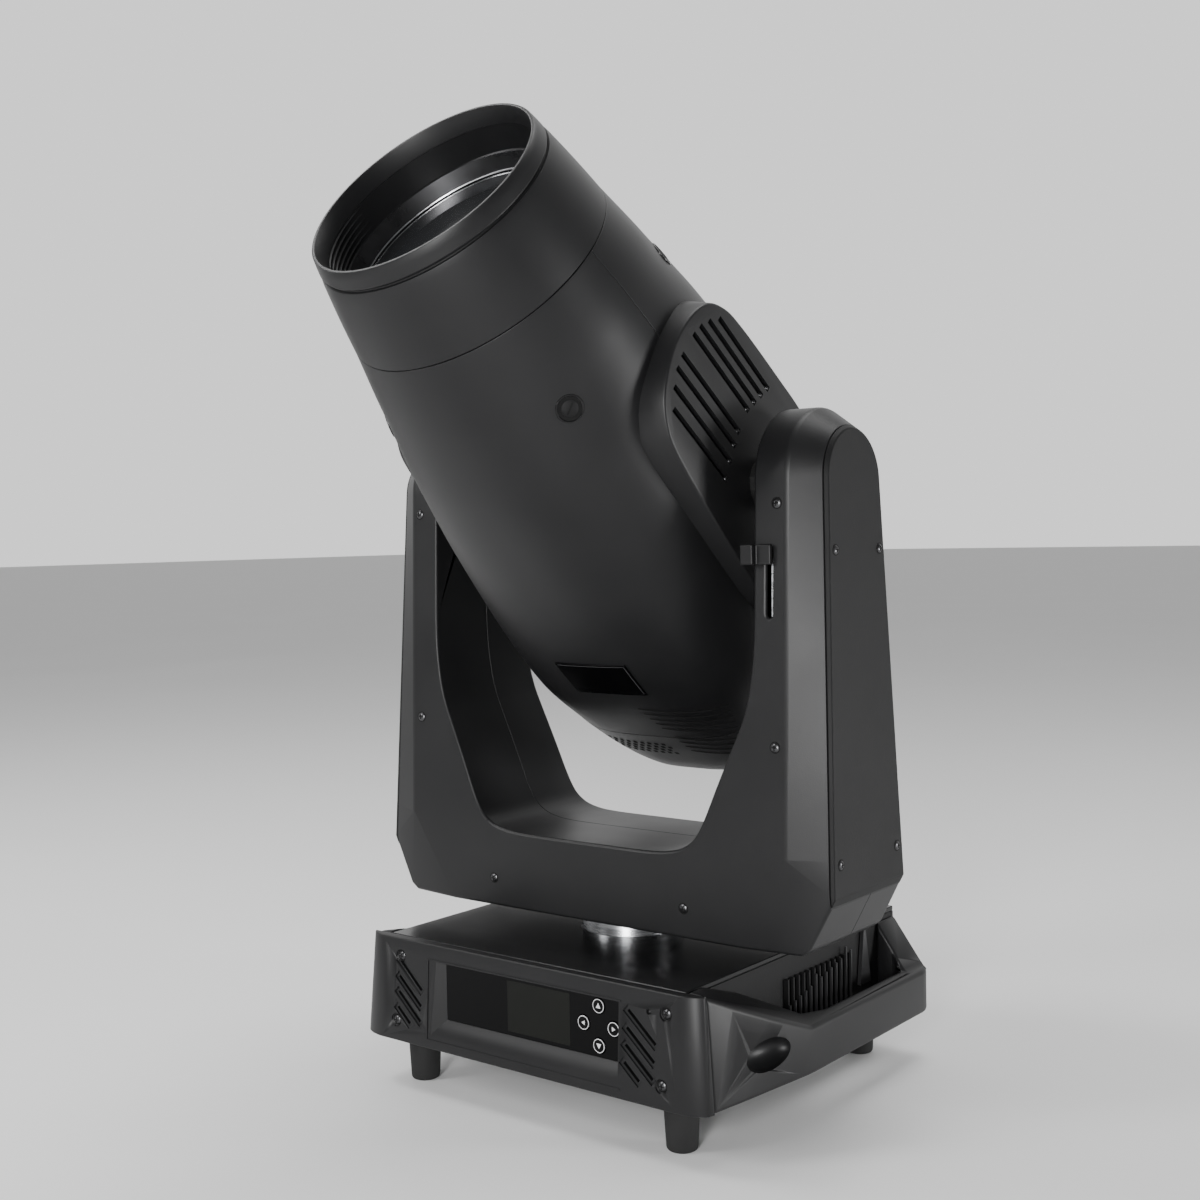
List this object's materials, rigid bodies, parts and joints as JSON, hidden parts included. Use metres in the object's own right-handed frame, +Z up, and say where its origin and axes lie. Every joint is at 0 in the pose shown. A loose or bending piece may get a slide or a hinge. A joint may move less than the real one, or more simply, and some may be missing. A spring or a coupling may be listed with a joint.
{
  "type": "moving head light",
  "caption": "Stage moving head light: round nosed projector head tilting in a panning U-shaped yoke on a boxy base with side carry handles, display window and keys.",
  "frame": {"origin": "centre of the flat underside of the base, on the pan axis", "axes": "+Z up along the pan axis; -Y towards the display side; X along the tilt axis"},
  "size_m": [0.452, 0.5455, 0.7683],
  "materials": {
    "black_plastic": "satin black moulded plastic with a fine texture",
    "black_metal": "matte black powder coat",
    "gloss_black": "glossy",
    "rubber": "matte",
    "aluminium": "turned, satin",
    "steel": "brushed",
    "glass": "coated optical glass",
    "circuit_board": "green solder mask"
  },
  "bodies": {
    "base": {"base_chassis": "black_metal", "base_top_cover": "black_plastic", "front_bezel": "black_plastic", "display_window": "gloss_black", "rear_panel": "black_metal", "power_inlet": "black_plastic", "data_socket": "steel", "handle_left": "black_plastic", "handle_right": "black_plastic", "foot_front_left": "rubber", "foot_front_right": "rubber", "foot_rear_left": "rubber", "foot_rear_right": "rubber", "power_supply": "black_metal", "control_board": "circuit_board", "pan_bearing_housing": "aluminium", "pan_fixed_pulley": "aluminium"},
    "key_up_body": {"key_up": "gloss_black"},
    "key_down_body": {"key_down": "gloss_black"},
    "key_left_body": {"key_left": "gloss_black"},
    "key_right_body": {"key_right": "gloss_black"},
    "yoke": {"yoke_frame": "black_metal", "yoke_front_cover": "black_plastic", "yoke_rear_cover": "black_plastic", "arm_cover_left": "black_plastic", "arm_cover_right": "black_plastic", "pan_motor": "black_metal", "pan_belt": "rubber", "tilt_motor": "black_metal", "tilt_belt": "rubber", "tilt_bearing_left": "steel", "tilt_bearing_right": "steel"},
    "pan_drive": {"pan_motor_pulley": "aluminium"},
    "tilt_drive": {"tilt_motor_pulley": "aluminium"},
    "lock_tab": {"tilt_lock_slider": "black_plastic"},
    "head": {"nose_tube": "black_plastic", "front_ring": "black_plastic", "front_lens": "glass", "head_front_cover": "black_plastic", "head_rear_cover": "black_plastic", "side_pod_left": "black_plastic", "side_pod_right": "black_plastic", "rear_cap": "black_plastic", "badge_plate": "gloss_black", "head_frame": "black_metal", "tilt_axle_left": "steel", "tilt_axle_right": "steel", "tilt_pulley": "aluminium", "guide_rod_left": "steel", "guide_rod_right": "steel", "light_engine": "aluminium", "heatsink": "aluminium", "fan_frame": "black_plastic"},
    "zoom_group": {"zoom_carriage": "aluminium", "zoom_lens": "glass"},
    "focus_group": {"focus_carriage": "aluminium", "focus_lens": "glass"},
    "colour_disc": {"colour_wheel": "glass"},
    "gobo_disc": {"gobo_wheel": "aluminium"},
    "fan_rotor": {"fan_impeller": "black_plastic"}
  },
  "joints": [
    {"name": "pan", "type": "hinge", "parent": "base", "child": "yoke", "pos_m": [0, 0, 0.099], "axis": [0, 0, 1], "range_deg": [-270, 270]},
    {"name": "tilt", "type": "hinge", "parent": "yoke", "child": "head", "pos_m": [0, 0, 0.449], "axis": [1, 0, 0], "range_deg": [-182.3, 87.7]},
    {"name": "pan_motor_spin", "type": "hinge", "parent": "yoke", "child": "pan_drive", "pos_m": [-0.118, 0, 0.118], "axis": [0, 0, 1], "range_deg": [-1210, 1210]},
    {"name": "tilt_motor_spin", "type": "hinge", "parent": "yoke", "child": "tilt_drive", "pos_m": [0.191, 0, 0.225], "axis": [1, 0, 0], "range_deg": [-730, 352]},
    {"name": "tilt_lock", "type": "slide", "parent": "yoke", "child": "lock_tab", "axis": [0, 0.0325, 0.9995], "range_m": [-0.035, 0]},
    {"name": "key_up_press", "type": "slide", "parent": "base", "child": "key_up_body", "axis": [0, 1, 0], "range_m": [0, 0.0005], "stiffness_N_per_m": 600, "springref_m": -0.0005},
    {"name": "key_down_press", "type": "slide", "parent": "base", "child": "key_down_body", "axis": [0, 1, 0], "range_m": [0, 0.0005], "stiffness_N_per_m": 600, "springref_m": -0.0005},
    {"name": "key_left_press", "type": "slide", "parent": "base", "child": "key_left_body", "axis": [0, 1, 0], "range_m": [0, 0.0005], "stiffness_N_per_m": 600, "springref_m": -0.0005},
    {"name": "key_right_press", "type": "slide", "parent": "base", "child": "key_right_body", "axis": [0, 1, 0], "range_m": [0, 0.0005], "stiffness_N_per_m": 600, "springref_m": -0.0005},
    {"name": "zoom", "type": "slide", "parent": "head", "child": "zoom_group", "axis": [0, -0.7349, 0.6782], "range_m": [-0.04, 0.02]},
    {"name": "focus", "type": "slide", "parent": "head", "child": "focus_group", "axis": [0, -0.7349, 0.6782], "range_m": [-0.02, 0.03]},
    {"name": "colour_wheel_turn", "type": "hinge", "parent": "head", "child": "colour_disc", "pos_m": [0, 0.0062, 0.3834], "axis": [0, -0.7349, 0.6782], "continuous": true},
    {"name": "gobo_wheel_turn", "type": "hinge", "parent": "head", "child": "gobo_disc", "pos_m": [0, 0.0497, 0.463], "axis": [0, -0.7349, 0.6782], "continuous": true},
    {"name": "fan_turn", "type": "hinge", "parent": "head", "child": "fan_rotor", "pos_m": [0, 0.136, 0.3235], "axis": [0, -0.7349, 0.6782], "continuous": true}
  ],
  "couplings": [
    {"joint": "pan_motor_spin", "follows": "pan", "ratio": -4.4706},
    {"joint": "tilt_motor_spin", "follows": "tilt", "ratio": 4}
  ]
}
